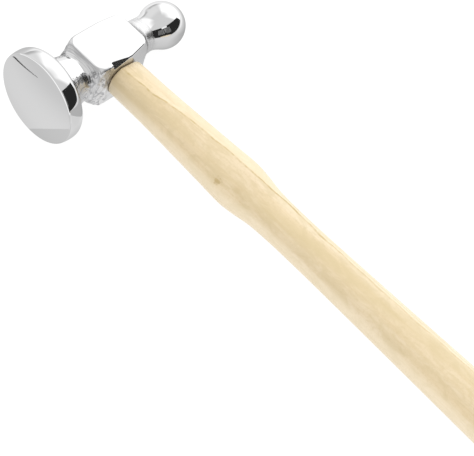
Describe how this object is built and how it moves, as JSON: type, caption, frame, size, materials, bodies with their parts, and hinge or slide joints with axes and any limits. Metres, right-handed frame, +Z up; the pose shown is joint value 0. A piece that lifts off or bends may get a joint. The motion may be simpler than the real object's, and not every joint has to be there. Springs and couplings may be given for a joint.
{
  "type": "ball peen hammer",
  "caption": "Jeweller's ball peen hammer: a polished steel head with a wide domed disc face and a small ball, on a slim waisted wooden handle.",
  "frame": {"origin": "middle of the footprint on the bench, with the hammer lying on its side on its disc rim, its ball and the end of its handle", "axes": "+X along the handle from the head to the butt, +Y from the striking face to the ball, +Z up from the bench"},
  "size_m": [0.254, 0.0564, 0.0278],
  "materials": {
    "polished_steel": "mirror polished, with faint circular grinding marks on the necks and flares",
    "pale_hardwood": "satin, sanded and lightly sealed, straight pale grain",
    "wedge_hardwood": "matt, end grain, sanded flush",
    "wedge_steel": "plain, sanded flush"
  },
  "bodies": {
    "root": {"head": "polished_steel", "handle": "pale_hardwood", "wood_wedge": "wedge_hardwood", "steel_wedge": "wedge_steel"}
  },
  "joints": []
}
